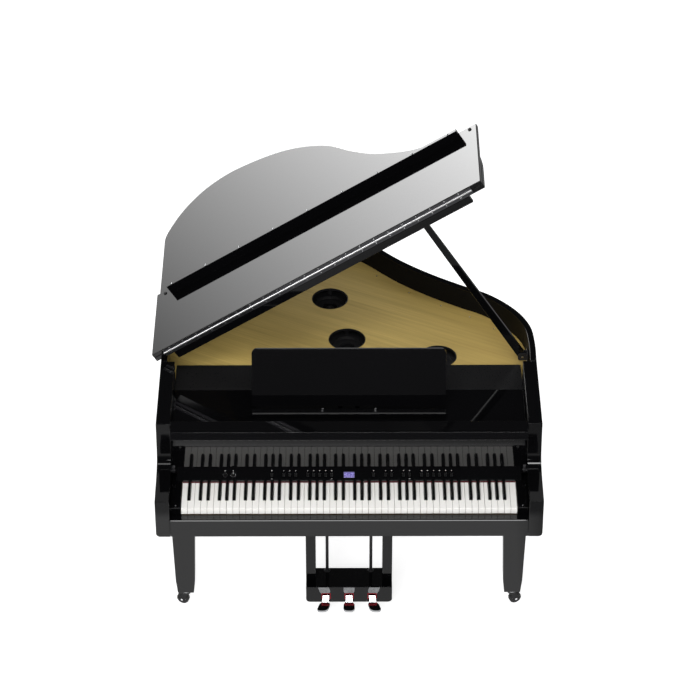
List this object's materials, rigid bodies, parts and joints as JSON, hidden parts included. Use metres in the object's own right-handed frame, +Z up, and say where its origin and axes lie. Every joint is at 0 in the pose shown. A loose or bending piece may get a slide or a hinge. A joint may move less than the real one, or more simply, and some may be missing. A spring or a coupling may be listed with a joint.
{
  "type": "digital grand piano",
  "caption": "Compact polished black digital grand piano with its lid open on a prop, a folding music rest, a key cover, three pedals and legs on casters.",
  "frame": {"origin": "middle of the bounding box on the floor, with the lid open on its prop", "axes": "+X towards the treble end, +Y towards the tail, +Z up"},
  "size_m": [1.4404, 1.664, 1.7765],
  "materials": {
    "polished_black": "polished black lacquer, mirror gloss",
    "satin_black": "satin black paint",
    "black_board": "satin black stained board",
    "control_black": "satin black control plastic",
    "bright_metal": "bright plated metal",
    "caster_metal": "glossy black coated metal",
    "ivory_white": "smooth semi-gloss key plastic",
    "ebony_black": "satin key plastic",
    "spruce": "clear satin varnish on straight-grained wood",
    "speaker_dark": "matt black",
    "lit_glass": "glossy lit screen",
    "plain_wood": "bare wood",
    "wheel_black": "satin black wheel"
  },
  "bodies": {
    "case": {"left_arm": "polished_black", "right_arm": "polished_black", "spine": "polished_black", "tail": "polished_black", "bentside": "polished_black", "key_slip": "polished_black", "left_cheek": "polished_black", "right_cheek": "polished_black", "control_panel": "polished_black", "music_shelf": "polished_black", "rest_ledge": "polished_black", "left_leg": "polished_black", "right_leg": "polished_black", "rear_leg": "polished_black", "lyre": "polished_black", "lyre_left_brace": "satin_black", "lyre_right_brace": "satin_black", "prop_bracket": "satin_black", "keybed": "black_board", "case_floor": "black_board", "front_board": "black_board", "rear_shelf": "black_board", "display": "lit_glass", "soundboard": "spruce", "speaker_baffle": "speaker_dark", "key_frame": "plain_wood"},
    "white_keys_1": {"white_keys_1": "ivory_white"},
    "black_keys_1": {"black_keys_1": "ebony_black"},
    "white_keys_2": {"white_keys_2": "ivory_white"},
    "black_keys_2": {"black_keys_2": "ebony_black"},
    "white_keys_3": {"white_keys_3": "ivory_white"},
    "black_keys_3": {"black_keys_3": "ebony_black"},
    "white_keys_4": {"white_keys_4": "ivory_white"},
    "black_keys_4": {"black_keys_4": "ebony_black"},
    "white_keys_5": {"white_keys_5": "ivory_white"},
    "black_keys_5": {"black_keys_5": "ebony_black"},
    "white_keys_6": {"white_keys_6": "ivory_white"},
    "black_keys_6": {"black_keys_6": "ebony_black"},
    "white_keys_7": {"white_keys_7": "ivory_white"},
    "black_keys_7": {"black_keys_7": "ebony_black"},
    "button_pad": {"button_pad": "control_black"},
    "power_button": {"power_button": "control_black"},
    "volume_knob": {"volume_knob": "control_black"},
    "key_cover": {"key_cover": "polished_black"},
    "music_rest": {"music_rest": "polished_black"},
    "rest_strut": {"rest_strut": "bright_metal"},
    "prop": {"prop": "polished_black"},
    "left_pedal": {"left_pedal": "bright_metal"},
    "middle_pedal": {"middle_pedal": "bright_metal"},
    "right_pedal": {"right_pedal": "bright_metal"},
    "left_caster_fork": {"left_caster_fork": "caster_metal"},
    "right_caster_fork": {"right_caster_fork": "caster_metal"},
    "rear_caster_fork": {"rear_caster_fork": "caster_metal"},
    "left_caster_wheel": {"left_caster_wheel": "wheel_black"},
    "right_caster_wheel": {"right_caster_wheel": "wheel_black"},
    "rear_caster_wheel": {"rear_caster_wheel": "wheel_black"},
    "main_lid": {"main_lid": "polished_black", "lid_hinge_leaf": "bright_metal"},
    "front_lid": {"front_lid": "polished_black", "front_lid_skirt": "polished_black"}
  },
  "joints": [
    {"name": "white_keys_1_press", "type": "hinge", "parent": "case", "child": "white_keys_1", "pos_m": [-0.48908, -0.58001, 0.716], "axis": [1, 0, 0], "range_deg": [0, 2.5], "stiffness_Nm_per_rad": 10, "springref_deg": -9.74},
    {"name": "black_keys_1_press", "type": "hinge", "parent": "case", "child": "black_keys_1", "pos_m": [-0.48908, -0.58001, 0.703], "axis": [1, 0, 0], "range_deg": [0, 2.5], "stiffness_Nm_per_rad": 5, "springref_deg": -9.74},
    {"name": "white_keys_2_press", "type": "hinge", "parent": "case", "child": "white_keys_2", "pos_m": [-0.30108, -0.58001, 0.716], "axis": [1, 0, 0], "range_deg": [0, 2.5], "stiffness_Nm_per_rad": 10, "springref_deg": -9.74},
    {"name": "black_keys_2_press", "type": "hinge", "parent": "case", "child": "black_keys_2", "pos_m": [-0.30108, -0.58001, 0.703], "axis": [1, 0, 0], "range_deg": [0, 2.5], "stiffness_Nm_per_rad": 5, "springref_deg": -9.74},
    {"name": "white_keys_3_press", "type": "hinge", "parent": "case", "child": "white_keys_3", "pos_m": [-0.13658, -0.58001, 0.716], "axis": [1, 0, 0], "range_deg": [0, 2.5], "stiffness_Nm_per_rad": 10, "springref_deg": -9.74},
    {"name": "black_keys_3_press", "type": "hinge", "parent": "case", "child": "black_keys_3", "pos_m": [-0.13658, -0.58001, 0.703], "axis": [1, 0, 0], "range_deg": [0, 2.5], "stiffness_Nm_per_rad": 5, "springref_deg": -9.74},
    {"name": "white_keys_4_press", "type": "hinge", "parent": "case", "child": "white_keys_4", "pos_m": [0.02792, -0.58001, 0.716], "axis": [1, 0, 0], "range_deg": [0, 2.5], "stiffness_Nm_per_rad": 10, "springref_deg": -9.74},
    {"name": "black_keys_4_press", "type": "hinge", "parent": "case", "child": "black_keys_4", "pos_m": [0.02792, -0.58001, 0.703], "axis": [1, 0, 0], "range_deg": [0, 2.5], "stiffness_Nm_per_rad": 5, "springref_deg": -9.74},
    {"name": "white_keys_5_press", "type": "hinge", "parent": "case", "child": "white_keys_5", "pos_m": [0.19242, -0.58001, 0.716], "axis": [1, 0, 0], "range_deg": [0, 2.5], "stiffness_Nm_per_rad": 10, "springref_deg": -9.74},
    {"name": "black_keys_5_press", "type": "hinge", "parent": "case", "child": "black_keys_5", "pos_m": [0.19242, -0.58001, 0.703], "axis": [1, 0, 0], "range_deg": [0, 2.5], "stiffness_Nm_per_rad": 5, "springref_deg": -9.74},
    {"name": "white_keys_6_press", "type": "hinge", "parent": "case", "child": "white_keys_6", "pos_m": [0.35692, -0.58001, 0.716], "axis": [1, 0, 0], "range_deg": [0, 2.5], "stiffness_Nm_per_rad": 10, "springref_deg": -9.74},
    {"name": "black_keys_6_press", "type": "hinge", "parent": "case", "child": "black_keys_6", "pos_m": [0.35692, -0.58001, 0.703], "axis": [1, 0, 0], "range_deg": [0, 2.5], "stiffness_Nm_per_rad": 5, "springref_deg": -9.74},
    {"name": "white_keys_7_press", "type": "hinge", "parent": "case", "child": "white_keys_7", "pos_m": [0.53317, -0.58001, 0.716], "axis": [1, 0, 0], "range_deg": [0, 2.5], "stiffness_Nm_per_rad": 10, "springref_deg": -9.74},
    {"name": "black_keys_7_press", "type": "hinge", "parent": "case", "child": "black_keys_7", "pos_m": [0.53317, -0.58001, 0.703], "axis": [1, 0, 0], "range_deg": [0, 2.5], "stiffness_Nm_per_rad": 5, "springref_deg": -9.74},
    {"name": "button_pad_press", "type": "slide", "parent": "case", "child": "button_pad", "axis": [0, 0.7071, -0.7071], "range_m": [0, 0.001], "stiffness_N_per_m": 600, "springref_m": -0.001},
    {"name": "power_button_press", "type": "slide", "parent": "case", "child": "power_button", "axis": [0, 0.7071, -0.7071], "range_m": [0, 0.001], "stiffness_N_per_m": 200, "springref_m": -0.001},
    {"name": "volume_turn", "type": "hinge", "parent": "case", "child": "volume_knob", "pos_m": [-0.40883, -0.62736, 0.76614], "axis": [0, -0.7071, 0.7071], "range_deg": [-140, 140]},
    {"name": "key_cover_close", "type": "hinge", "parent": "case", "child": "key_cover", "pos_m": [0.01617, -0.61601, 0.779], "axis": [1, 0, 0], "range_deg": [0, 90]},
    {"name": "music_rest_fold", "type": "hinge", "parent": "case", "child": "music_rest", "pos_m": [0.01617, -0.42901, 0.933], "axis": [1, 0, 0], "range_deg": [-70, 0]},
    {"name": "rest_strut_fold", "type": "hinge", "parent": "music_rest", "child": "rest_strut", "pos_m": [0.01617, -0.38212, 1.02235], "axis": [1, 0, 0], "range_deg": [0, 133.61]},
    {"name": "lid_open", "type": "hinge", "parent": "case", "child": "main_lid", "pos_m": [-0.68683, 0.20799, 0.989], "axis": [0, -1, 0], "range_deg": [0, 10]},
    {"name": "front_lid_unfold", "type": "hinge", "parent": "main_lid", "child": "front_lid", "pos_m": [-0.10634, -0.21531, 1.38065], "axis": [0.844, 0, 0.5364], "range_deg": [0, 180]},
    {"name": "prop_fold", "type": "hinge", "parent": "case", "child": "prop", "pos_m": [0.67217, -0.11401, 0.936], "axis": [0, -1, 0], "range_deg": [0, 57.5]},
    {"name": "left_pedal_press", "type": "hinge", "parent": "case", "child": "left_pedal", "pos_m": [-0.07183, -0.45401, 0.0915], "axis": [1, 0, 0], "range_deg": [0, 5], "stiffness_Nm_per_rad": 20, "springref_deg": -2.86},
    {"name": "middle_pedal_press", "type": "hinge", "parent": "case", "child": "middle_pedal", "pos_m": [0.01617, -0.45401, 0.0915], "axis": [1, 0, 0], "range_deg": [0, 5], "stiffness_Nm_per_rad": 20, "springref_deg": -2.86},
    {"name": "right_pedal_press", "type": "hinge", "parent": "case", "child": "right_pedal", "pos_m": [0.10417, -0.45401, 0.0915], "axis": [1, 0, 0], "range_deg": [0, 5], "stiffness_Nm_per_rad": 20, "springref_deg": -2.86},
    {"name": "left_caster_swivel", "type": "hinge", "parent": "case", "child": "left_caster_fork", "pos_m": [-0.61183, -0.45101, 0.07], "axis": [0, 0, 1], "continuous": true},
    {"name": "left_caster_roll", "type": "hinge", "parent": "left_caster_fork", "child": "left_caster_wheel", "pos_m": [-0.62499, -0.44622, 0.0238], "axis": [0.342, 0.9397, 0], "continuous": true},
    {"name": "right_caster_swivel", "type": "hinge", "parent": "case", "child": "right_caster_fork", "pos_m": [0.64417, -0.45101, 0.07], "axis": [0, 0, 1], "continuous": true},
    {"name": "right_caster_roll", "type": "hinge", "parent": "right_caster_fork", "child": "right_caster_wheel", "pos_m": [0.65732, -0.44622, 0.0238], "axis": [0.342, -0.9397, 0], "continuous": true},
    {"name": "rear_caster_swivel", "type": "hinge", "parent": "case", "child": "rear_caster_fork", "pos_m": [-0.23383, 0.55799, 0.07], "axis": [0, 0, 1], "continuous": true},
    {"name": "rear_caster_roll", "type": "hinge", "parent": "rear_caster_fork", "child": "rear_caster_wheel", "pos_m": [-0.23722, 0.57158, 0.0238], "axis": [0.9703, 0.2419, 0], "continuous": true}
  ],
  "couplings": [
    {"joint": "rest_strut_fold", "follows": "music_rest_fold", "ratio": -1.9086}
  ]
}
